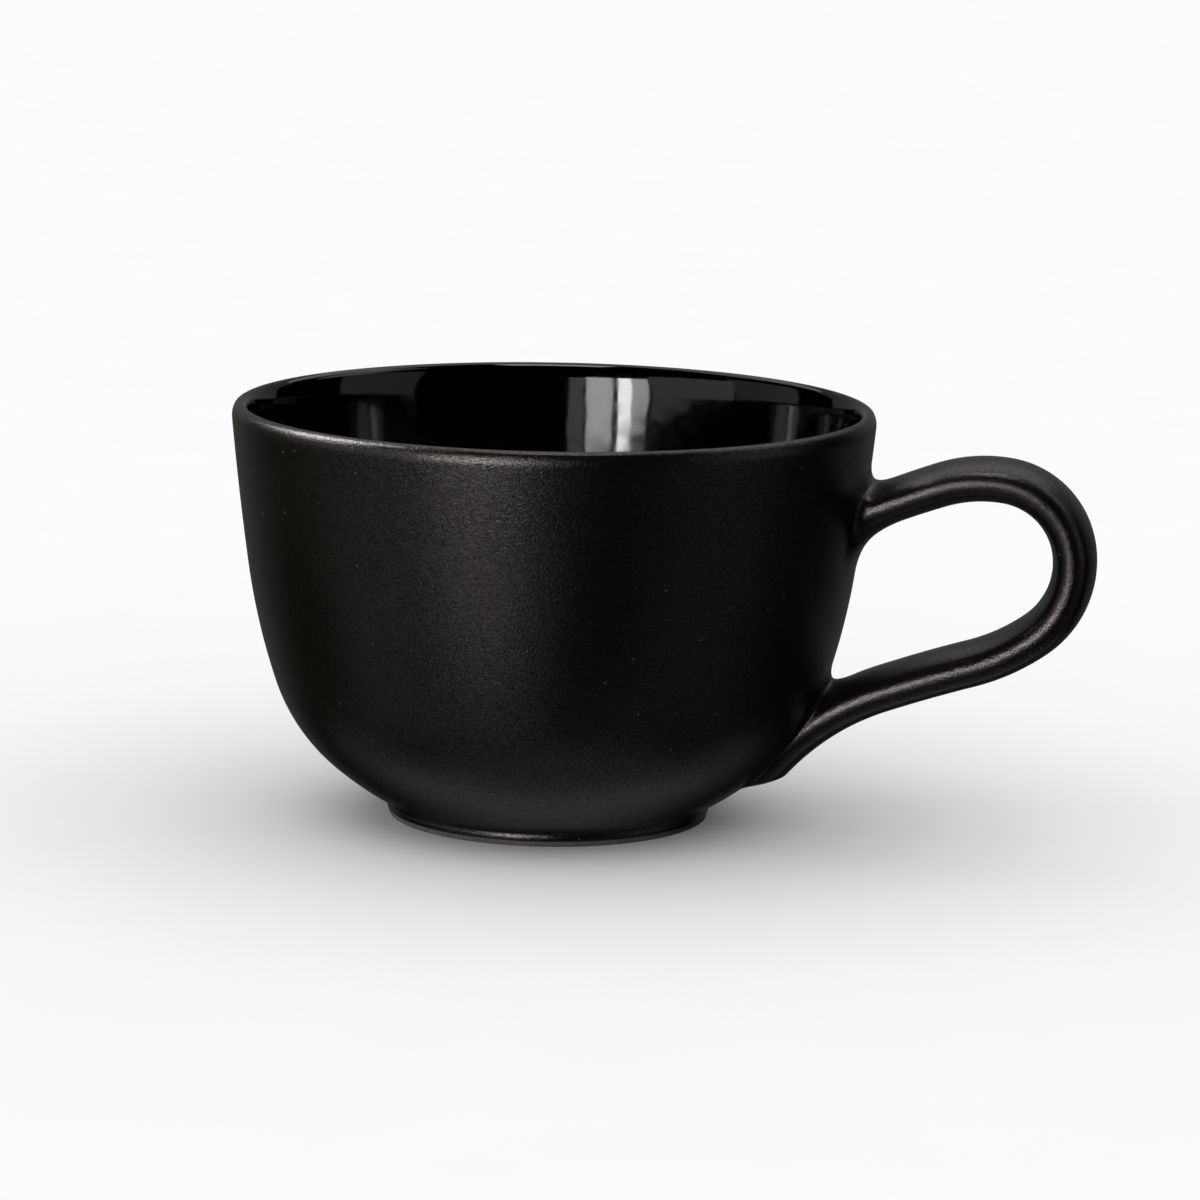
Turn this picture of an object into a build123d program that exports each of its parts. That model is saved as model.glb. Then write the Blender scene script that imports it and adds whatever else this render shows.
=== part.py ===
"""A ceramic mug: a wide round cup on a foot ring, with a loop handle luted on.

The cup stands on Z = 0 with its axis on +Z, and the handle points along +X.
All sizes are in millimetres.
"""

import os
from math import cos, hypot, radians, sin

from build123d import *

os.makedirs("parts", exist_ok=True)

# The fired glaze lies this thick on the clay.
GLAZE = 0.4

# The cup's outside, from the foot up and just over the crest of the lip. Each
# step is an arc's radius and how far it turns; a positive turn is to the left.
BELLY_START = (27.2, 2.3)
BELLY_HEADING = 28.6
BELLY = [(57.5, 12.0), (31.4, 30.9), (111.0, 10.5), (545.0, 2.6)]
LIP_OUTSIDE = [(3.6, 30.0), (1.15, 85.4)]

# The cup's inside, from the lip down to the floor. The last arc, which closes
# the floor on the axis, is worked out from where these end.
LIP_INSIDE = [(1.5, 50.0), (12.0, 14.0)]
BORE = [(235.0, -6.0), (121.0, -8.5), (26.0, -59.8)]

# The foot ring, bare where it stands, and the recess inside it.
FOOT_R = 27.2
FOOT_BEVEL = 0.3
FOOT_BARE = 0.9
STAND_R = (23.9, 26.9)
RECESS_R = 22.6
RECESS_SIDE_R = 23.2
RECESS_DEPTH = 2.4

# The handle: a crowned oval strap along a line of arcs, which starts inside the
# cup's wall, runs round the loop and ends as a tail lying on the belly.
STRAP_W = 16.6
STRAP_T = 7.3
STRAP_EDGE_R = 2.6
LOOP_START = (45.98, 50.94)
LOOP_HEADING = 26.6
LOOP = [
    (158.7, -7.6),
    (23.7, -27.1),
    (13.2, -71.2),
    (15.1, -63.2),
    (34.7, -20.2),
    (292.0, 3.0),
    (45.8, 30.0),
]
TAIL_RUN = 4.6
TAIL_CUT_Z = 8.0

# Slip collars that fair the strap into the cup and close round it. Each row is
# a distance along the strap from that end, then how far the slip stands out
# beyond the strap at its sides, on its outer face and on its inner face.
UPPER_COLLAR = [
    (2.0, 2.4, 3.0, 5.4),
    (6.0, 2.0, 3.0, 1.8),
    (9.5, 1.4, 2.6, 0.7),
    (12.3, 0.5, 0.8, 0.3),
    (15.0, 0.1, 0.1, 0.1),
]
LOWER_COLLAR = [
    (1.0, 0.5, 0.15, 1.0),
    (7.0, 1.0, 0.15, 1.5),
    (13.0, 1.5, 0.15, 2.0),
    (19.5, 1.3, 0.15, 2.6),
    (23.5, 0.5, 0.12, 0.9),
    (27.0, 0.1, 0.1, 0.1),
]


def walk(start, heading, steps):
    """The stations of a line of tangent arcs: each one's point and heading."""
    x, y = start
    stations = [(x, y, heading)]
    for radius, turn in steps:
        r = radius if turn > 0 else -radius
        a, b = radians(heading), radians(heading + turn)
        x += r * (sin(b) - sin(a))
        y += r * (cos(a) - cos(b))
        heading += turn
        stations.append((x, y, heading))
    return stations


def arcs(start, heading, steps, inset=0.0):
    """The tangent arcs as edges, moved sideways to the left by the inset."""
    edges = []
    for (x, y, h), (radius, turn) in zip(walk(start, heading, steps), steps):
        a = radians(h)
        at = (x - inset * sin(a), y + inset * cos(a))
        r = radius - inset if turn > 0 else radius + inset
        edges.append(JernArc(at, (cos(a), sin(a)), r, turn))
    return edges


def polyline(points):
    """Straight edges through the points."""
    return [Line(a, b) for a, b in zip(points, points[1:])]


def turned(edges):
    """Turns a closed half section about the cup's axis."""
    return revolve(Plane.XZ * make_face(edges), Axis.Z)


def outside(inset):
    """The cup's outside as edges, this far into the clay."""
    return arcs(BELLY_START, BELLY_HEADING, BELLY + LIP_OUTSIDE, inset)


def inside(inset):
    """The cup's inside as edges, down to the axis, this far into the clay."""
    x, y, heading = walk(BELLY_START, BELLY_HEADING, BELLY + LIP_OUTSIDE)[-1]
    steps = LIP_INSIDE + BORE
    end_x, _, end_heading = walk((x, y), heading, steps)[-1]
    turn = end_heading - 180.0
    floor_r = end_x / sin(radians(turn))
    return arcs((x, y), heading, steps + [(floor_r, -turn)], inset)


def recess_outline(inset):
    """The recess under the floor, from the axis to where its glaze ends."""
    top = RECESS_DEPTH + inset
    return [(0.0, top), (RECESS_R + inset, top), (RECESS_SIDE_R + inset, FOOT_BARE)]


def body_clay():
    """The bowl and its foot ring, in one."""
    out, into = outside(GLAZE), inside(GLAZE)
    belly = out[0] @ 0
    foot = recess_outline(GLAZE) + [
        (STAND_R[0], 0.0),
        (STAND_R[1], 0.0),
        (belly.X, FOOT_BEVEL),
        (belly.X, belly.Y),
    ]
    axis = Line(into[-1] @ 1, foot[0])
    return turned(out + into + polyline(foot) + [axis])


def body_fill(inset):
    """The space the cup fills, hollow and all, for fitting the handle to it."""
    out = outside(inset)
    foot, crest = out[0] @ 0, out[-1] @ 1
    rest = [(crest.X, crest.Y), (0.0, crest.Y), (0.0, 0.0), (foot.X, 0.0), (foot.X, foot.Y)]
    return turned(out + polyline(rest))


def outer_coat():
    """The matte coat from the lip down the belly and the side of the foot."""
    skin, clay = outside(0.0), outside(GLAZE)
    inner, outer = clay[0] @ 0, skin[0] @ 0
    foot = [(inner.X, inner.Y), (inner.X, FOOT_BARE), (FOOT_R, FOOT_BARE), (outer.X, outer.Y)]
    return turned(skin + clay + polyline(foot) + [Line(skin[-1] @ 1, clay[-1] @ 1)])


def liner_coat():
    """The gloss coat over the inside, from the lip to the floor."""
    skin, clay = inside(0.0), inside(GLAZE)
    ends = [Line(skin[0] @ 0, clay[0] @ 0), Line(skin[-1] @ 1, clay[-1] @ 1)]
    return turned(skin + clay + ends)


def base_coat():
    """The coat in the recess under the floor."""
    skin, clay = recess_outline(0.0), recess_outline(GLAZE)
    return turned(polyline(skin + clay[::-1] + skin[:1]))


def loop_edges():
    """The strap's centre line, with the straight run of the tail."""
    edges = arcs(LOOP_START, LOOP_HEADING, LOOP)
    end = edges[-1] @ 1
    return edges + [Line(end, end + (edges[-1] % 1) * TAIL_RUN)]


def loop_plane(distance):
    """The plane across the strap at a distance along it, +Y to its outer face."""
    line = Wire(loop_edges())
    spot = line.position_at(distance, position_mode=PositionMode.LENGTH)
    way = line.tangent_at(distance, position_mode=PositionMode.LENGTH)
    return Plane(origin=(spot.X, 0, spot.Y), x_dir=(0, 1, 0), z_dir=(way.X, 0, way.Y))


def oval(width, thickness, edge_r):
    """A crowned oval: two flat arcs joined by two small ones at the edges."""
    w, t = width / 2, thickness / 2
    reach = w - edge_r
    crown_r = (reach**2 + t**2 - edge_r**2) / (2 * (t - edge_r))
    span = hypot(reach, crown_r - t)
    x, y = crown_r * reach / span, t - crown_r + crown_r * (crown_r - t) / span
    return make_face(
        [
            ThreePointArc((-x, y), (0, t), (x, y)),
            ThreePointArc((x, y), (w, 0), (x, -y)),
            ThreePointArc((x, -y), (0, -t), (-x, -y)),
            ThreePointArc((-x, -y), (-w, 0), (-x, y)),
        ]
    )


def above(z):
    """All the space higher than this."""
    size = 400.0
    return Pos(0, 0, z + size / 2) * Box(size, size, size)


def strap(inset):
    """The strap along its whole line, this far inside its glazed surface."""
    face = oval(STRAP_W - 2 * inset, STRAP_T - 2 * inset, STRAP_EDGE_R - inset)
    whole = sweep(loop_plane(0.0) * face, Plane.XZ * Wire(loop_edges()))
    return whole & above(TAIL_CUT_Z + inset)


def along(distance, from_tail):
    """The plane across the strap this far from one of its ends."""
    length = Wire(loop_edges()).length
    return loop_plane(length - distance if from_tail else distance)


def collar(rows, from_tail):
    """A flared sleeve of slip round one end of the strap."""
    faces = []
    for distance, side, outer, inner in rows:
        edge_r = STRAP_EDGE_R + 0.4 * (outer + inner)
        face = oval(STRAP_W + 2 * side, STRAP_T + outer + inner, edge_r)
        faces.append(along(distance, from_tail) * Pos(0, (outer - inner) / 2) * face)
    return loft(faces) & above(TAIL_CUT_Z)


def end_block(rows, from_tail):
    """The space that a collar takes up along the strap, for ending the glaze."""
    width, depth, run = 40.0, 24.0, 30.0
    shift = run / 2 if from_tail else -run / 2
    return along(rows[-1][0], from_tail) * Pos(0, 0, shift) * Box(width, depth, run)


def build():
    """Every piece of the mug, by name."""
    cup = body_fill(GLAZE)
    strap_skin, strap_clay = strap(0.0), strap(GLAZE)
    upper, lower = collar(UPPER_COLLAR, False), collar(LOWER_COLLAR, True)
    ends = end_block(UPPER_COLLAR, False) + end_block(LOWER_COLLAR, True)
    return {
        "mug_body": body_clay(),
        "handle_strap": strap_clay - cup,
        "upper_slip_joint": upper - strap_clay - cup,
        "lower_slip_joint": lower - strap_clay - cup,
        "liner_glaze": liner_coat(),
        "outer_glaze": outer_coat() - strap_skin - upper - lower,
        "handle_glaze": strap_skin - strap_clay - ends,
        "base_glaze": base_coat(),
    }


for name, shape in build().items():
    export_step(shape, f"parts/{name}.step")
    print(name, len(shape.solids()), round(shape.volume, 1))
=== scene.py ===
from math import atan2, cos, pi, radians, sin, tan

import bmesh
import bpy
import numpy as np
from mathutils import Matrix, Vector


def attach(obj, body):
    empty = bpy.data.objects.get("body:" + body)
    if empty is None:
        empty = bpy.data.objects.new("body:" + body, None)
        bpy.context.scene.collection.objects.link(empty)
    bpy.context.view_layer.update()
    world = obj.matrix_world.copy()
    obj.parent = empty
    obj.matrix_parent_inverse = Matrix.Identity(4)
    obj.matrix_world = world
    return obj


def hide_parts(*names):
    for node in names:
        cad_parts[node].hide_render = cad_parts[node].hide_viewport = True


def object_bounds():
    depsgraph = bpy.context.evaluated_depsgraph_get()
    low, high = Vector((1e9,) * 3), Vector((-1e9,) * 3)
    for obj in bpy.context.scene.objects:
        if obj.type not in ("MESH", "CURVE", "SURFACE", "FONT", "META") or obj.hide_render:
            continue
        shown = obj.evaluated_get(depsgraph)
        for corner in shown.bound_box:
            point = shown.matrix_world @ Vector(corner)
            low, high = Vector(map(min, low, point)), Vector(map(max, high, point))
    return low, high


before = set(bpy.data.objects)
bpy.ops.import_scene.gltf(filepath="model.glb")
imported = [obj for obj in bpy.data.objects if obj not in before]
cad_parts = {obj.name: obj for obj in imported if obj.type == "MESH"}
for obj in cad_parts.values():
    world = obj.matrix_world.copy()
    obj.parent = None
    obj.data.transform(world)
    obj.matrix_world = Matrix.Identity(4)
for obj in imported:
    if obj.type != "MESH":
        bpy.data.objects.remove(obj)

cad_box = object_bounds()

MM = 0.001

# ---------------------------------------------------------------- the cup
# Outlines of the cup's half section, in millimetres from the axis and the
# standing plane, as tangent arcs: each step is a radius and how far it turns.
BELLY_START = (27.2, 2.3)
BELLY_HEADING = 28.6
BELLY = [(57.5, 12.0), (31.4, 30.9), (111.0, 10.5), (545.0, 2.6)]
LIP_OUTSIDE = [(3.6, 30.0), (1.15, 85.4)]
LIP_INSIDE = [(1.5, 50.0), (12.0, 14.0)]
BORE = [(235.0, -6.0), (121.0, -8.5), (26.0, -59.8)]
GLAZE = 0.4

# The foot, by distance from the axis and height: the matte coat's edge on the side
# of the foot and the point behind it, the recess, and the bare clay round both.
GLAZE_EDGE = [(27.0, 0.85), (27.25, 0.9), (27.4, 1.4), (27.25, 2.2)]
GLAZE_EDGE_BACK = (26.95, 0.95)
RECESS = [(0.0, 2.4), (22.6, 2.4), (23.2, 0.9)]
RECESS_CLAY = [(0.0, 2.8), (23.0, 2.8), (23.6, 0.9)]
RING_CLAY = [(23.9, 0.0), (27.0, 0.0), (27.15, 0.9), (27.0, 2.65)]
RECESS_ROUND = 0.6
RING_ROUND = 0.25

# The strap of the handle, in the plane of the cup's axis.
LOOP_START = (45.98, 50.94)
LOOP_HEADING = 26.6
LOOP = [
    (158.7, -7.6),
    (23.7, -27.1),
    (13.2, -71.2),
    (15.1, -63.2),
    (34.7, -20.2),
    (292.0, 3.0),
    (45.8, 30.0),
    (2000.0, 0.2),
]
STRAP_W = 16.6
STRAP_EDGE_R = 2.6
TAIL_CUT_Z = 7.8
SLEEVE_THICKNESS = 0.3
# Distance along the strap, its thickness there, and how far it has bowed out.
STRAP_ROWS = np.array(
    [
        (0.0, 7.10, 0.00),
        (15.0, 7.10, 0.00),
        (27.0, 7.30, 0.10),
        (38.0, 7.30, 0.20),
        (52.0, 7.25, 0.20),
        (63.0, 7.45, 0.10),
        (80.0, 7.60, -0.05),
        (100.0, 7.55, 0.00),
        (115.0, 7.75, 0.05),
        (126.0, 7.75, 0.05),
    ]
)

EASE = 4.0

# The joints: how much of each end of the strap they cover, how far along it the cup
# is looked for, and how the fillets are drawn.
UPPER_RUN = 18.0
LOWER_RUN = 33.0
UPPER_SEARCH = 22.0
LOWER_SEARCH = 33.0
SEARCH_STEP = 0.1
FILLET_PULL = 0.42
FILLET_TUCK = 0.03
MOST_OF_RUN = 0.98
SMOOTHING = 6

# The meshes: points round a turned piece, the longest step and the greatest turn
# along an arc, the closest a turned outline comes to the axis, and the angle from
# which an edge is sharp.
AROUND = 288
CUP_SPACING = 1.2
LOOP_SPACING = 0.5
GREATEST_TURN = radians(7)
AXIS_GAP = 0.01
SHARP = radians(38)
TINY = 1e-9


def arc_points(start, heading, steps, spacing, inset=0.0):
    """Points along tangent arcs, each with its heading, moved left by the inset."""
    x, y = start
    h = radians(heading)
    rows = [(x, y, h)]
    for radius, turn in steps:
        turn = radians(turn)
        r = radius if turn > 0 else -radius
        n = max(2, int(np.ceil(max(abs(radius * turn) / spacing, abs(turn) / GREATEST_TURN))))
        for i in range(1, n + 1):
            a = h + turn * i / n
            rows.append((x + r * (sin(a) - sin(h)), y + r * (cos(h) - cos(a)), a))
        x, y, h = rows[-1]
    rows = np.array(rows)
    rows[:, 0] -= inset * np.sin(rows[:, 2])
    rows[:, 1] += inset * np.cos(rows[:, 2])
    return rows


def outside(inset=0.0):
    """The cup's outside, up and over the crest of the lip."""
    return arc_points(BELLY_START, BELLY_HEADING, BELLY + LIP_OUTSIDE, CUP_SPACING, inset)


def inside(inset=0.0):
    """The cup's inside, from the lip to the floor, which a last arc closes on the axis."""
    x, y, h = outside()[-1]
    steps = LIP_INSIDE + BORE
    end = arc_points((x, y), np.degrees(h), steps, CUP_SPACING)[-1]
    turn = end[2] - pi
    floor_arc = (end[0] / sin(turn), -np.degrees(turn))
    return arc_points((x, y), np.degrees(h), steps + [floor_arc], CUP_SPACING, inset)


def grid_mesh(name, grid):
    """A closed mesh from rings of points, the last ring joining the first."""
    grid = np.asarray(grid, float) * MM
    n, m = grid.shape[:2]
    faces = []
    for i in range(n):
        for j in range(m):
            a, b = i * m + j, i * m + (j + 1) % m
            c, d = ((i + 1) % n) * m + (j + 1) % m, ((i + 1) % n) * m + j
            faces.append((a, b, c, d))
    mesh = bpy.data.meshes.new(name)
    mesh.from_pydata(grid.reshape(-1, 3).tolist(), [], faces)
    built = bmesh.new()
    built.from_mesh(mesh)
    bmesh.ops.recalc_face_normals(built, faces=built.faces)
    built.to_mesh(mesh)
    built.free()
    mesh.shade_smooth()
    mesh.set_sharp_from_angle(angle=SHARP)
    obj = bpy.data.objects.new(name, mesh)
    bpy.context.scene.collection.objects.link(obj)
    return obj


def sleeve(name, rings):
    """A skin, closed at its ends, under rings of points round the strap."""
    rings = np.asarray(rings, float)
    along = np.gradient(rings, axis=0)
    around = np.roll(rings, -1, 1) - np.roll(rings, 1, 1)
    normal = np.cross(along, around)
    normal /= np.linalg.norm(normal, axis=2, keepdims=True) + TINY
    middle = rings.mean(1, keepdims=True)
    if np.sum(normal * (rings - middle)) < 0:
        normal = -normal
    inner = rings - normal * SLEEVE_THICKNESS
    return grid_mesh(name, np.concatenate([rings, inner[::-1]]))


def lathe(name, outline):
    """Turns a closed half section about the axis."""
    turn = np.linspace(0, 2 * pi, AROUND, endpoint=False)
    ring = np.stack([np.cos(turn), np.sin(turn)], 1)
    rows = [np.column_stack([ring * max(r, AXIS_GAP), np.full(AROUND, z)]) for r, z in outline]
    return grid_mesh(name, rows)


def rounded(points, radius, steps=5):
    """The same outline with each inner corner rounded by a short curve."""
    points = [np.array(p, float) for p in points]
    out = [points[0]]
    for before, corner, after in zip(points, points[1:], points[2:]):
        a, b = before - corner, after - corner
        cut = min(radius, np.linalg.norm(a) / 2, np.linalg.norm(b) / 2)
        a, b = corner + a / np.linalg.norm(a) * cut, corner + b / np.linalg.norm(b) * cut
        for t in np.linspace(0, 1, steps):
            out.append((1 - t) ** 2 * a + 2 * t * (1 - t) * corner + t * t * b)
    out.append(points[-1])
    return np.array(out)


# ------------------------------------------------------------- the handle
def loop_table():
    """Distances along the strap's centre line, and the points and headings there."""
    rows = arc_points(LOOP_START, LOOP_HEADING, LOOP, LOOP_SPACING)
    steps = np.hypot(*np.diff(rows[:, :2], axis=0).T)
    return np.concatenate([[0.0], np.cumsum(steps)]), rows


LOOP_S, LOOP_ROWS = loop_table()
LOOP_LENGTH = LOOP_S[-1]


def oval(width, thickness, edge_r, flat=13, edge=11):
    """A crowned oval as points from its inner face round to its inner face."""
    w, t = width / 2, thickness / 2
    reach = w - edge_r
    crown_r = (reach**2 + t**2 - edge_r**2) / (2 * (t - edge_r))
    half = atan2(reach, crown_r - t)
    points = []
    for side in (1, -1):
        for i in range(edge):
            a = -pi / 2 + half + (pi - 2 * half) * i / edge
            a = a if side == 1 else a + pi
            points.append((side * reach + edge_r * cos(a), edge_r * sin(a)))
        for i in range(flat):
            a = half - 2 * half * i / flat
            points.append((side * crown_r * sin(a), side * (t - crown_r + crown_r * cos(a))))
    return np.array(points)


THIN, THICK = STRAP_ROWS[:, 1].min(), STRAP_ROWS[:, 1].max()
THIN_OVAL = oval(STRAP_W, THIN, STRAP_EDGE_R)
THICK_OVAL = oval(STRAP_W, THICK, STRAP_EDGE_R)


def eased(distance, column):
    """A value from the strap's rows, eased between them."""
    at, value = STRAP_ROWS[:, 0], STRAP_ROWS[:, column]
    spread = np.linspace(-EASE, EASE, 9)
    return np.mean([np.interp(distance + d, at, value) for d in spread], axis=0)


def strap_lines(distances):
    """A point on each line of the strap's surface, each at its own distance."""
    distances = np.broadcast_to(np.asarray(distances, float), (len(THIN_OVAL),))
    x = np.interp(distances, LOOP_S, LOOP_ROWS[:, 0])
    z = np.interp(distances, LOOP_S, LOOP_ROWS[:, 1])
    h = np.interp(distances, LOOP_S, LOOP_ROWS[:, 2])
    share = ((eased(distances, 1) - THIN) / (THICK - THIN))[:, None]
    section = THIN_OVAL * (1 - share) + THICK_OVAL * share
    across, out = section[:, 0], section[:, 1] + eased(distances, 2)
    return np.stack([x - out * np.sin(h), across, z + out * np.cos(h)], -1)


SKIN = outside()
SKIN_L = np.concatenate([[0.0], np.cumsum(np.hypot(*np.diff(SKIN[:, :2], axis=0).T))])
CREST = int(np.argmax(SKIN[:, 1]))


def belly_r(z):
    """The cup's outside radius at a height."""
    return np.interp(z, SKIN[: CREST + 1, 1], SKIN[: CREST + 1, 0])


def belly_l(z):
    """The length up the cup's outline at a height."""
    return np.interp(z, SKIN[: CREST + 1, 1], SKIN_L[: CREST + 1])


def on_belly(angle, length, sink=0.0):
    """Points on the cup's outside by angle about the axis and length up its outline."""
    r = np.interp(length, SKIN_L, SKIN[:, 0])
    z = np.interp(length, SKIN_L, SKIN[:, 1])
    h = np.interp(length, SKIN_L, SKIN[:, 2])
    r, z = r - sink * np.sin(h), z + sink * np.cos(h)
    return np.stack([r * np.cos(angle), r * np.sin(angle), z], -1)


def meeting(start, step, limit):
    """Where each line of the strap meets the cup, or the cut under its tail.

    Gives the distance along the strap for each line, and the spot on the cup.
    """
    hit = np.full(len(THIN_OVAL), np.nan)
    distance = start
    previous = strap_lines(start)
    gap_before = np.hypot(previous[:, 0], previous[:, 1]) - belly_r(previous[:, 2])
    drop_before = previous[:, 2] - TAIL_CUT_Z
    while np.isnan(hit).any() and abs(distance - start) < limit:
        distance += step
        ring = strap_lines(distance)
        gap = np.hypot(ring[:, 0], ring[:, 1]) - belly_r(ring[:, 2])
        drop = ring[:, 2] - TAIL_CUT_Z
        for before, now in ((gap_before, gap), (drop_before, drop)):
            new = np.isnan(hit) & (now <= 0)
            part = before[new] / np.maximum(before[new] - now[new], TINY)
            hit[new] = distance - step + step * part
        gap_before, drop_before = gap, drop
    spots = strap_lines(hit)
    angle = np.arctan2(spots[:, 1], spots[:, 0])
    length = belly_l(spots[:, 2])
    return hit, angle, length


def circular_mean(values, passes):
    """Smooths a closed ring of values."""
    for _ in range(passes):
        values = (np.roll(values, 1, 0) + 2 * values + np.roll(values, -1, 0)) / 4
    return values


def footprint_normals(angle, length):
    """Which way is away from the strap, along the cup, at each of its lines."""
    flat = np.stack([angle * belly_r(np.interp(length, SKIN_L, SKIN[:, 1])), length], 1)
    tangent = np.roll(flat, -1, 0) - np.roll(flat, 1, 0)
    normal = np.stack([tangent[:, 1], -tangent[:, 0]], 1)
    if np.sum(normal * (flat - flat.mean(0))) < 0:
        normal = -normal
    normal /= np.linalg.norm(normal, axis=1, keepdims=True) + TINY
    normal = circular_mean(normal, SMOOTHING)
    return normal / (np.linalg.norm(normal, axis=1, keepdims=True) + TINY)


def joint_rings(start, step, limit, flare, run_rows=16, fillet_rows=12):
    """Rings from the strap at start to the cup, faired by a flare of slip.

    flare(up) gives how far the slip reaches, along the cup and along the strap,
    where the way off the strap points up the cup by that share.
    """
    hit, angle, length = meeting(start, step, limit)
    normal = footprint_normals(angle, length)
    on_cup, on_strap = flare(normal[:, 1])
    on_strap = np.minimum(on_strap, np.abs(hit - start) * MOST_OF_RUN)
    back = np.sign(step)
    rings = []
    for i in range(run_rows):
        at = start + (hit - back * on_strap - start) * i / run_rows
        rings.append(strap_lines(at))

    def cup_point(share, sink=0.0):
        """The points on the cup that far out along the fillet."""
        shift = normal * (on_cup * share)[:, None]
        new_length = length + shift[:, 1]
        r = np.interp(new_length, SKIN_L, SKIN[:, 0])
        return on_belly(angle + shift[:, 0] / r, new_length, sink)

    control = [
        strap_lines(hit - back * on_strap),
        strap_lines(hit - back * on_strap * FILLET_PULL),
        cup_point(FILLET_PULL),
        cup_point(1.0, FILLET_TUCK),
    ]
    mid = (control[1] + control[2]) / 2
    for t in np.linspace(0, 1, fillet_rows, endpoint=False):
        rings.append((1 - t) ** 2 * control[0] + 2 * t * (1 - t) * control[1] + t * t * mid)
    for t in np.linspace(0, 1, fillet_rows):
        rings.append((1 - t) ** 2 * mid + 2 * t * (1 - t) * control[2] + t * t * control[3])
    return np.array(rings)


def upper_flare(up):
    """A fillet above the strap and a longer one below it."""
    above, below = np.maximum(0, up), np.maximum(0, -up) ** 1.5
    return 2.4 + 2.4 * above + 5.6 * below, 2.4 + 2.4 * above + 6.0 * below


def lower_flare(up):
    """A fillet in the notch above the strap, and hardly any round the tail."""
    above = np.maximum(0, up)
    return 1.4 + 4.2 * above, 1.4 + 4.6 * above


def cup_pieces():
    """The clay body, the coats outside and inside, and the coat in the recess."""
    skin, clay = outside(), outside(GLAZE)
    edge = rounded(GLAZE_EDGE + [tuple(skin[1, :2])], RING_ROUND)
    outer = lathe(
        "cup_matte_glaze",
        np.vstack([edge[:-1], skin[1:, :2], clay[::-1, :2], [GLAZE_EDGE_BACK]]),
    )

    skin_in, clay_in = inside(), inside(GLAZE)
    liner = lathe("cup_gloss_glaze", np.vstack([skin_in[:, :2], clay_in[::-1, :2]]))

    recess = rounded(RECESS, RECESS_ROUND)
    base = lathe("base_matte_glaze", np.vstack([recess, RECESS_CLAY[::-1]]))

    ring = rounded(RECESS_CLAY + RING_CLAY, RING_ROUND)
    body = lathe("cup_clay_body", np.vstack([ring[:-1], clay[:, :2], clay_in[1:, :2]]))
    return body, outer, liner, base


def handle_pieces():
    """The coat on the strap, and the two joints that fair it into the cup."""
    upper_start, lower_start = UPPER_RUN, LOOP_LENGTH - LOWER_RUN
    strap_rings = [strap_lines(d) for d in np.linspace(upper_start, lower_start, 120)]
    upper_rings = joint_rings(upper_start, -SEARCH_STEP, UPPER_SEARCH, upper_flare)
    lower_rings = joint_rings(lower_start, SEARCH_STEP, LOWER_SEARCH, lower_flare)
    strap = sleeve("handle_matte_glaze", strap_rings)
    upper = sleeve("upper_joint_slip", upper_rings)
    lower = sleeve("lower_joint_slip", lower_rings)
    return strap, upper, lower


body, cup_outer, liner, base = cup_pieces()
strap, upper, lower = handle_pieces()


# -------------------------------------------------------------- materials
# Scales are features per metre, and bump distances are metres.
class Nodes:
    """A few shorthands for wiring a procedural material."""

    def __init__(self, name):
        self.material = bpy.data.materials.new(name)
        self.material.use_nodes = True
        self.tree = self.material.node_tree
        self.shader = self.tree.nodes["Principled BSDF"]
        self.where = self.add("ShaderNodeTexCoord").outputs["Object"]

    def add(self, kind, **settings):
        """A new node with those settings."""
        node = self.tree.nodes.new(kind)
        for key, value in settings.items():
            setattr(node, key, value)
        return node

    def link(self, a, b):
        """Wires an output to an input."""
        self.tree.links.new(a, b)

    def noise(self, scale, detail=2.0, roughness=0.5):
        """Smooth noise over the piece, from 0 to 1."""
        node = self.add("ShaderNodeTexNoise")
        node.inputs["Scale"].default_value = scale
        node.inputs["Detail"].default_value = detail
        node.inputs["Roughness"].default_value = roughness
        self.link(self.where, node.inputs["Vector"])
        return node.outputs["Fac"]

    def ramp(self, source, stops):
        """A value or colour ramp over the source."""
        node = self.add("ShaderNodeValToRGB")
        ramp = node.color_ramp
        while len(ramp.elements) < len(stops):
            ramp.elements.new(0.5)
        for element, (place, value) in zip(ramp.elements, stops):
            element.position = place
            colour = value if isinstance(value, tuple) else (value,) * 3
            element.color = (*colour, 1.0)
        self.link(source, node.inputs["Fac"])
        return node.outputs["Color"]

    def mix(self, factor, a, b):
        """One colour or value over another, by that share."""
        node = self.add("ShaderNodeMix", data_type="RGBA")
        self.link(factor, node.inputs["Factor"])
        for socket, value in ((node.inputs["A"], a), (node.inputs["B"], b)):
            if isinstance(value, tuple):
                socket.default_value = (*value, 1.0)
            else:
                self.link(value, socket)
        return node.outputs["Result"]

    def bump(self, height, strength, distance, under=None):
        """A fine relief of that height, over another if one is given."""
        node = self.add("ShaderNodeBump")
        node.inputs["Strength"].default_value = strength
        node.inputs["Distance"].default_value = distance
        self.link(height, node.inputs["Height"])
        if under is not None:
            self.link(under, node.inputs["Normal"])
        return node.outputs["Normal"]

    def specks(self, scale, size, share):
        """White dots of that size in a share of the cells of a scatter."""
        cells = self.add("ShaderNodeTexVoronoi")
        cells.inputs["Scale"].default_value = scale
        self.link(self.where, cells.inputs["Vector"])
        dot = self.ramp(cells.outputs["Distance"], [(0.0, 1.0), (size, 0.0)])
        split = self.add("ShaderNodeSeparateColor")
        self.link(cells.outputs["Color"], split.inputs["Color"])
        chosen = self.ramp(split.outputs["Red"], [(0.0, 1.0), (share, 1.0), (share + 0.01, 0.0)])
        both = self.add("ShaderNodeMath", operation="MULTIPLY")
        self.link(dot, both.inputs[0])
        self.link(chosen, both.inputs[1])
        return both.outputs[0]


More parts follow.
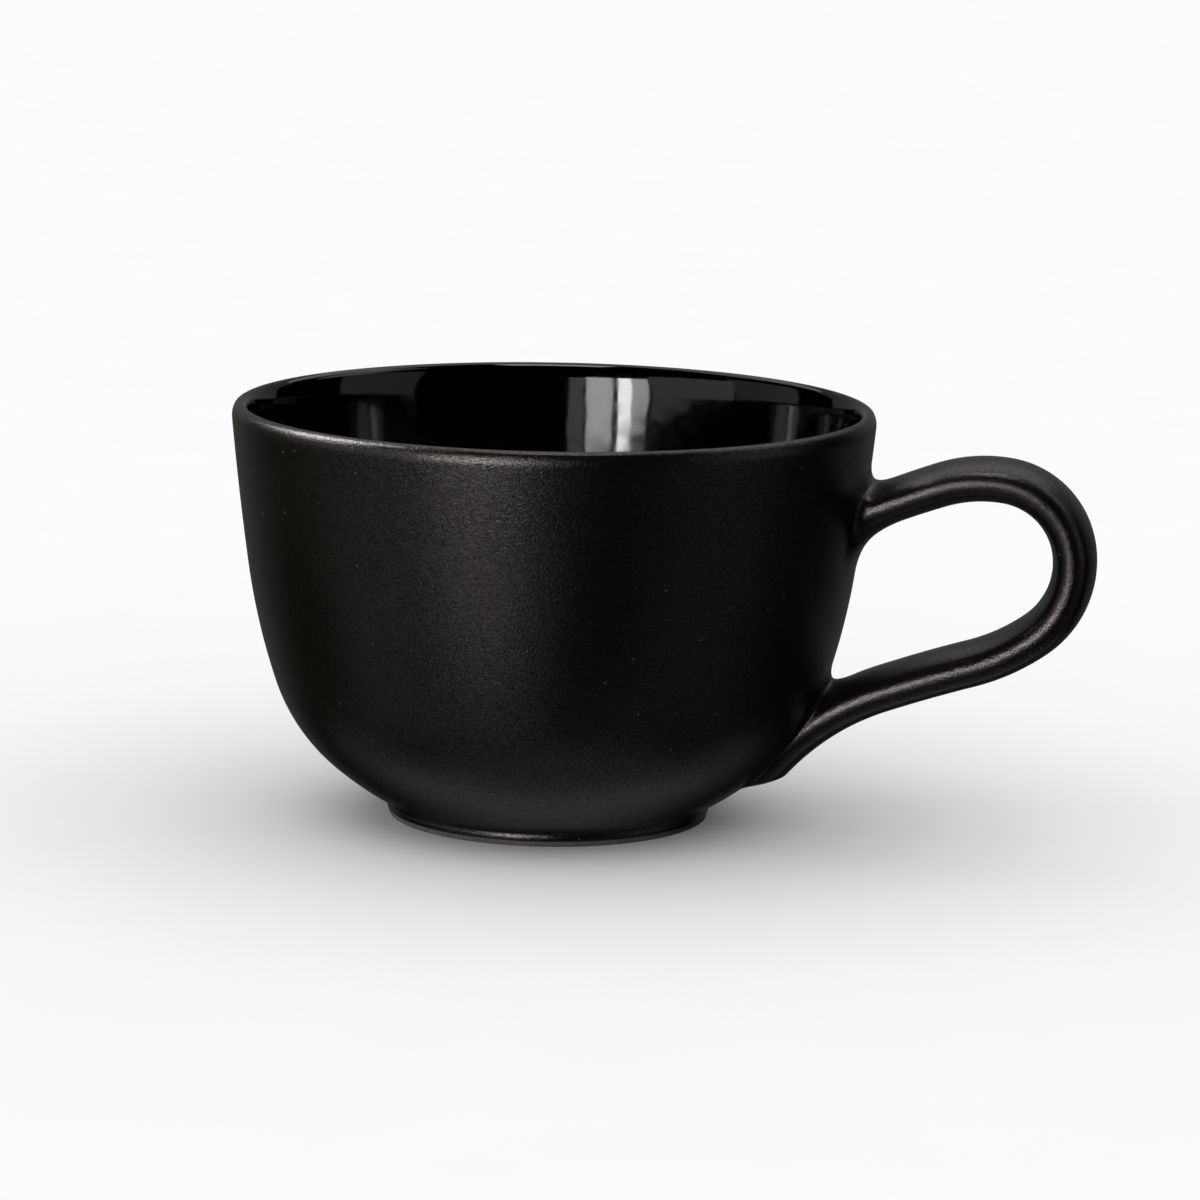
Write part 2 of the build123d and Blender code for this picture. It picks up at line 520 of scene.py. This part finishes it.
def matte_glaze():
    """A satin black glaze with a fine glittering grain and a few pale specks."""
    n = Nodes("matte_black_glaze")
    dark, light = (0.0040, 0.0032, 0.0022), (0.0060, 0.0050, 0.0036)
    speck, warm = (0.10, 0.095, 0.088), (1.0, 0.92, 0.90, 1.0)
    tone = n.ramp(n.noise(scale=60, detail=4), [(0.3, dark), (0.7, light)])
    grain = n.noise(scale=3400, detail=2, roughness=0.6)
    specks = n.specks(scale=420, size=0.11, share=0.22)
    n.link(n.mix(specks, tone, speck), n.shader.inputs["Base Color"])
    rough = n.ramp(n.noise(scale=900, detail=3), [(0.25, 0.17), (0.75, 0.24)])
    n.link(rough, n.shader.inputs["Roughness"])
    sheen = n.ramp(grain, [(0.38, 0.2), (0.62, 0.9)])
    n.link(sheen, n.shader.inputs["Specular IOR Level"])
    n.shader.inputs["Specular Tint"].default_value = warm
    ripple = n.bump(n.noise(scale=350), strength=0.05, distance=0.0002)
    n.link(n.bump(grain, 0.8, 0.00009, under=ripple), n.shader.inputs["Normal"])
    return n.material


def gloss_glaze():
    """A mirror black glaze with a slow ripple."""
    n = Nodes("gloss_black_glaze")
    dark, light = (0.0003, 0.0003, 0.0003), (0.0006, 0.0006, 0.0005)
    tone = n.ramp(n.noise(scale=40, detail=3), [(0.35, dark), (0.7, light)])
    n.link(tone, n.shader.inputs["Base Color"])
    rough = n.ramp(n.noise(scale=500), [(0.3, 0.05), (0.7, 0.085)])
    n.link(rough, n.shader.inputs["Roughness"])
    ripple = n.bump(n.noise(scale=85), strength=0.12, distance=0.0006)
    n.link(ripple, n.shader.inputs["Normal"])
    return n.material


def bare_clay():
    """Dark unglazed stoneware, flecked and rough."""
    n = Nodes("bare_dark_stoneware")
    dark, light, fleck = (0.045, 0.040, 0.036), (0.085, 0.076, 0.068), (0.018, 0.016, 0.015)
    tone = n.ramp(n.noise(scale=500, detail=5), [(0.3, dark), (0.7, light)])
    flecks = n.specks(scale=900, size=0.2, share=0.3)
    n.link(n.mix(flecks, tone, fleck), n.shader.inputs["Base Color"])
    rough = n.ramp(n.noise(scale=700, detail=3), [(0.3, 0.72), (0.7, 0.88)])
    n.link(rough, n.shader.inputs["Roughness"])
    grit = n.bump(n.noise(scale=1800, detail=4), strength=0.5, distance=0.0001)
    n.link(grit, n.shader.inputs["Normal"])
    return n.material


MATTE, GLOSS, CLAY = matte_glaze(), gloss_glaze(), bare_clay()
for piece, material, slot, nodes in (
    (body, CLAY, "bare_clay", ["mug_body"]),
    (cup_outer, MATTE, "matte_glaze", ["outer_glaze"]),
    (liner, GLOSS, "gloss_glaze", ["liner_glaze"]),
    (base, MATTE, "matte_glaze", ["base_glaze"]),
    (strap, MATTE, "matte_glaze", ["handle_glaze"]),
    (upper, MATTE, "matte_glaze", ["upper_slip_joint"]),
    (lower, MATTE, "matte_glaze", ["lower_slip_joint"]),
):
    piece.data.materials.append(material)
    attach(piece, "root")
    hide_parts(*nodes)

# The strap's clay core stays as it is, inside its coat.
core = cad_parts["handle_strap"]
for slot in core.material_slots:
    slot.material = CLAY

# ------------------------------------------------------------------ stage
lo, hi = cad_box
CENTRE = Vector((0.0, 0.0, (lo.z + hi.z) / 2))
CAMERA_AZIMUTH = 10.0
CAMERA_ELEVATION = 10.49
CAMERA_DISTANCE = 0.8453
CAMERA_YAW, CAMERA_PITCH, CAMERA_ROLL = -0.557, 0.113, 0.979
CAMERA_LENS = 150.07
CAMERA_SENSOR = 36.0
FLOOR_SIZE = 12.0
FLOOR_SKY_ANGLE = 150.0
FLOOR_LIGHT = 3.35
LIGHT_DISTANCE = 2.0


def toward(azimuth, elevation):
    """The way out from the mug at an angle from the camera's side of it."""
    a, e = radians(CAMERA_AZIMUTH + azimuth), radians(elevation)
    return Vector((sin(a) * cos(e), -cos(a) * cos(e), sin(e)))


def camera():
    """The camera, turned and rolled slightly as it was held."""
    back = toward(0.0, CAMERA_ELEVATION)
    facing = (-back).to_track_quat("-Z", "Y").to_matrix()
    for angle, axis in ((CAMERA_YAW, "Y"), (CAMERA_PITCH, "X"), (CAMERA_ROLL, "Z")):
        facing = facing @ Matrix.Rotation(radians(angle), 3, axis)
    data = bpy.data.cameras.new("camera")
    data.sensor_width = CAMERA_SENSOR
    data.lens = CAMERA_LENS
    obj = bpy.data.objects.new("camera", data)
    obj.matrix_world = Matrix.Translation(CENTRE + back * CAMERA_DISTANCE) @ facing.to_4x4()
    bpy.context.scene.collection.objects.link(obj)
    bpy.context.scene.camera = obj


def plane(name, height, size, material):
    """A square plane that is part of the stage."""
    mesh = bpy.data.meshes.new(name)
    corners = [(-size, -size), (size, -size), (size, size), (-size, size)]
    mesh.from_pydata([(x, y, height) for x, y in corners], [], [(0, 1, 2, 3)])
    mesh.materials.append(material)
    obj = bpy.data.objects.new(name, mesh)
    bpy.context.scene.collection.objects.link(obj)
    return obj


def pale_floor():
    """The floor that the camera sees: white, and lit evenly by a sky of its own."""
    n = Nodes("pale_floor")
    dim, bright = (0.905, 0.905, 0.905), (0.915, 0.915, 0.915)
    tone = n.ramp(n.noise(scale=40, detail=3), [(0.3, dim), (0.7, bright)])
    n.link(tone, n.shader.inputs["Base Color"])
    n.shader.inputs["Roughness"].default_value = 0.9
    n.shader.inputs["Specular IOR Level"].default_value = 0.0
    floor = plane("floor", lo.z, FLOOR_SIZE, n.material)
    floor.visible_glossy = False
    floor.visible_diffuse = False
    floor.visible_shadow = False
    data = bpy.data.lights.new("floor_sky", "SUN")
    data.angle = radians(FLOOR_SKY_ANGLE)
    data.energy = FLOOR_LIGHT
    sky = bpy.data.objects.new("floor_sky", data)
    bpy.context.scene.collection.objects.link(sky)
    lit = bpy.data.collections.new("lit_by_floor_sky")
    lit.objects.link(floor)
    sky.light_linking.receiver_collection = lit
    return floor


def softbox(name, azimuth, elevation, width, height, radiance, kept_off):
    """A soft light by its angles from the mug, its angular size and its radiance.

    It lights nothing that it is kept off.
    """
    data = bpy.data.lights.new(name, "AREA")
    data.shape = "RECTANGLE"
    data.size = 2 * LIGHT_DISTANCE * tan(radians(width / 2))
    data.size_y = 2 * LIGHT_DISTANCE * tan(radians(height / 2))
    data.energy = pi * data.size * data.size_y * radiance
    obj = bpy.data.objects.new(name, data)
    back = toward(azimuth, elevation)
    obj.location = CENTRE + back * LIGHT_DISTANCE
    obj.rotation_euler = (-back).to_track_quat("-Z", "Y").to_euler()
    obj.visible_camera = False
    bpy.context.scene.collection.objects.link(obj)
    off = bpy.data.collections.new(name + "_kept_off")
    for other in kept_off:
        off.objects.link(other)
    for entry in off.collection_objects:
        entry.light_linking.link_state = "EXCLUDE"
    obj.light_linking.receiver_collection = off


# Azimuth from the camera, elevation, width and height in degrees, radiance. The ones
# below the horizon stand for what a table top would reflect onto the mug.
LIGHTS = {
    "window_core": (-28.0, 8.0, 5.5, 24.0, 20.0),
    "window_left": (-34.2, 8.0, 6.5, 24.0, 6.0),
    "window_right": (-17.8, 8.0, 10.0, 24.0, 7.0),
    "window_far_right": (-8.5, 8.0, 6.0, 22.0, 1.0),
    "left_high": (-105.0, 38.0, 30.0, 30.0, 14.0),
    "left_broad": (-57.0, 10.0, 36.0, 30.0, 0.65),
    "left_side": (-93.0, 12.0, 34.0, 34.0, 0.3),
    "right_broad": (75.0, 12.0, 36.0, 34.0, 0.3),
    "right_high": (100.0, 45.0, 30.0, 30.0, 0.8),
    "overhead": (0.0, 88.0, 20.0, 20.0, 5.0),
    "high_behind": (180.0, 56.0, 70.0, 40.0, 0.85),
    "backdrop": (180.0, 18.0, 90.0, 40.0, 0.15),
    "table_glint": (-23.0, -14.0, 24.0, 14.0, 0.5),
    "table_glint_near": (-23.0, -31.0, 22.0, 22.0, 0.6),
    "table_left": (-62.0, -25.0, 50.0, 44.0, 0.17),
    "table_right": (62.0, -25.0, 50.0, 44.0, 0.08),
    "table_under": (0.0, -85.0, 60.0, 60.0, 0.17),
    "table_behind": (180.0, -14.0, 90.0, 24.0, 0.08),
    "table_foot": (180.0, -64.0, 90.0, 26.0, 0.17),
}

camera()
floor = pale_floor()
for name, setting in LIGHTS.items():
    # The gloss inside would mirror the high left light as a hard streak.
    kept_off = [floor, liner] if name == "left_high" else [floor]
    softbox(name, *setting, kept_off)

world = bpy.data.worlds.new("studio")
bpy.context.scene.world = world
world.use_nodes = True
world.node_tree.nodes["Background"].inputs["Color"].default_value = (1.0, 1.0, 1.0, 1.0)
world.node_tree.nodes["Background"].inputs["Strength"].default_value = 1.0
world.cycles_visibility.glossy = False
world.cycles_visibility.diffuse = False
bpy.context.scene.view_settings.view_transform = "Standard"
